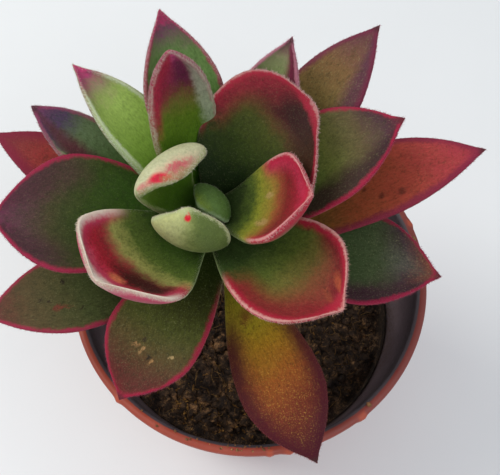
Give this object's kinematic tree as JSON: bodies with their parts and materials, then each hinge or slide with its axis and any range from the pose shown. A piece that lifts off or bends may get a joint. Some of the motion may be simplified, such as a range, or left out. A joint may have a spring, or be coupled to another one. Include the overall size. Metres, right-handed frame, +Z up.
{
  "type": "potted succulent",
  "caption": "Hairy rosette succulent with cupped pointed leaves on a short bare stem, planted in a small round tapered nursery pot.",
  "frame": {"origin": "centre of the flat underside of the pot", "axes": "+Z up, -Y towards the side seen in the picture, +X to that viewer's right"},
  "size_m": [0.104, 0.0921, 0.135],
  "materials": {
    "terracotta_plastic": "satin terracotta outside, black inside",
    "peat": "crumbly dark peat with fibres",
    "stem_bark": "dull fibrous stem",
    "young_leaf": "pale green under a dense coat of short hairs",
    "leaf": "green with crimson margins under short hairs",
    "old_leaf": "olive to orange red with purple margins"
  },
  "bodies": {
    "root": {"pot": "terracotta_plastic", "soil": "peat", "stem": "stem_bark", "heart_bud": "young_leaf", "leaf_young_1": "young_leaf", "leaf_young_2": "young_leaf", "leaf_inner_1": "leaf", "leaf_inner_2": "leaf", "leaf_inner_3": "leaf", "leaf_inner_4": "leaf", "leaf_inner_5": "leaf", "leaf_middle_1": "leaf", "leaf_middle_2": "leaf", "leaf_middle_3": "leaf", "leaf_middle_4": "leaf", "leaf_middle_5": "leaf", "leaf_middle_6": "leaf", "leaf_middle_7": "leaf", "leaf_middle_8": "leaf", "leaf_outer_1": "old_leaf", "leaf_outer_2": "old_leaf", "leaf_outer_3": "old_leaf", "leaf_outer_4": "old_leaf", "leaf_outer_5": "old_leaf", "leaf_outer_6": "old_leaf"}
  },
  "joints": []
}
